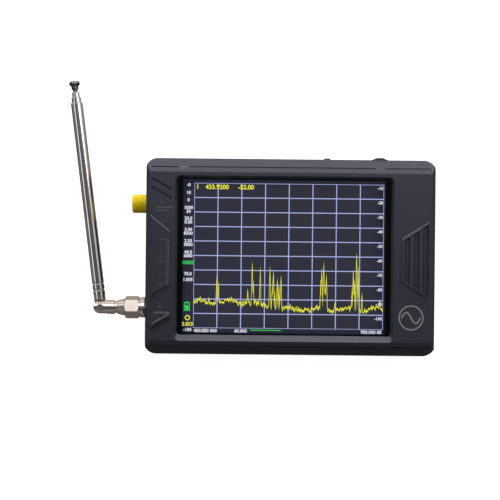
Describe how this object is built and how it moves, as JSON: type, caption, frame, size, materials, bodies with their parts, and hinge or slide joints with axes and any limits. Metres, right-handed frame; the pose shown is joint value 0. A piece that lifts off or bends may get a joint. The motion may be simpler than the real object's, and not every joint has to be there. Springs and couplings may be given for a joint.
{
  "type": "handheld spectrum analyser",
  "caption": "Handheld spectrum analyser: slim moulded case round a touch screen, coaxial jacks on one edge, a pull-off dust cap and a folding, swivelling telescopic antenna.",
  "frame": {"origin": "centre of the flat face of the case's back, which lies on the bench", "axes": "+X to the right of the screen, +Y to the screen's top edge, +Z out of the screen"},
  "size_m": [0.1481, 0.1103, 0.0214],
  "materials": {
    "case_plastic": "fine matt texture",
    "switch_plastic": "satin",
    "black_plastic": "moulded",
    "white_plastic": "moulded",
    "cap_vinyl": "soft satin",
    "screw_steel": "black oxide",
    "bright_steel": "bright",
    "glass": "clear",
    "display": "lit picture",
    "foam": "closed-cell foam",
    "tape": "adhesive foam",
    "ribbon_film": "polyimide film",
    "board": "solder mask",
    "tinplate": "tinned",
    "chip": "moulded epoxy",
    "cell_film": "foil pouch",
    "lead": "insulation",
    "gold_brass": "gold plated",
    "ptfe": "PTFE",
    "nickel": "nickel plated",
    "chrome": "bright chrome"
  },
  "bodies": {
    "case": {"front_shell": "case_plastic", "rear_shell": "case_plastic", "headphone_jack": "black_plastic", "power_switch_body": "black_plastic", "ribbon_socket": "black_plastic", "usb_tongue": "black_plastic", "battery_plug": "white_plastic", "battery_socket": "white_plastic", "case_screws": "screw_steel", "board_screws": "bright_steel", "lcd_frame": "bright_steel", "usb_socket": "bright_steel", "memory_card_socket": "bright_steel", "jog_housing": "bright_steel", "touch_panel": "glass", "lcd_glass": "display", "screen_gasket": "foam", "screen_pads": "foam", "battery_tape": "tape", "lcd_ribbon": "ribbon_film", "main_board": "board", "shield_fences": "tinplate", "shield_lids": "tinplate", "rf_chips": "chip", "processor": "chip", "power_chips": "chip", "battery": "cell_film", "battery_leads": "lead", "cal_jack": "gold_brass", "rf_jack": "gold_brass", "cal_jack_contact": "gold_brass", "rf_jack_contact": "gold_brass", "cal_jack_insulator": "ptfe", "rf_jack_insulator": "ptfe"},
    "power_slider": {"power_slider": "switch_plastic"},
    "jog_carriage": {"jog_carriage": "black_plastic"},
    "jog_wheel": {"jog_wheel": "switch_plastic"},
    "dust_cap": {"dust_cap": "cap_vinyl"},
    "coupling_nut": {"coupling_nut": "nickel"},
    "plug": {"plug_barrel": "nickel", "plug_insulator": "ptfe", "plug_pin": "gold_brass", "pivot_rivet": "bright_steel"},
    "rod_lower": {"rod_knuckle": "chrome", "antenna_tube_lower": "chrome"},
    "rod_middle": {"antenna_tube_middle": "chrome"},
    "rod_upper": {"antenna_tube_upper": "chrome"},
    "rod_tip": {"antenna_tip": "chrome"}
  },
  "joints": [
    {"name": "power_slide", "type": "slide", "parent": "case", "child": "power_slider", "axis": [1, 0, 0], "range_m": [0, 0.002]},
    {"name": "jog_push", "type": "slide", "parent": "case", "child": "jog_carriage", "axis": [0, -1, 0], "range_m": [0, 0.0006], "stiffness_N_per_m": 1500},
    {"name": "jog_turn", "type": "hinge", "parent": "jog_carriage", "child": "jog_wheel", "pos_m": [0.0359, 0.03635, 0.0062], "axis": [0, 0, 1], "range_deg": [-12, 12], "stiffness_Nm_per_rad": 0.05},
    {"name": "cap_pull", "type": "slide", "parent": "case", "child": "dust_cap", "axis": [-1, 0, 0], "range_m": [0, 0.006]},
    {"name": "nut_spin", "type": "hinge", "parent": "case", "child": "coupling_nut", "pos_m": [-0.0582, -0.021, 0.011], "axis": [1, 0, 0], "continuous": true},
    {"name": "antenna_swivel", "type": "hinge", "parent": "case", "child": "plug", "pos_m": [-0.0582, -0.021, 0.011], "axis": [1, 0, 0], "continuous": true},
    {"name": "antenna_fold", "type": "hinge", "parent": "plug", "child": "rod_lower", "pos_m": [-0.0764, -0.021, 0.011], "axis": [0, 0, 1], "range_deg": [-7.35, 172.65]},
    {"name": "middle_slide", "type": "slide", "parent": "rod_lower", "child": "rod_middle", "axis": [-0.1279, 0.9918, 0], "range_m": [0, 0.066]},
    {"name": "upper_slide", "type": "slide", "parent": "rod_middle", "child": "rod_upper", "axis": [-0.1279, 0.9918, 0], "range_m": [0, 0.066]},
    {"name": "tip_slide", "type": "slide", "parent": "rod_upper", "child": "rod_tip", "axis": [-0.1279, 0.9918, 0], "range_m": [0, 0.066]}
  ]
}
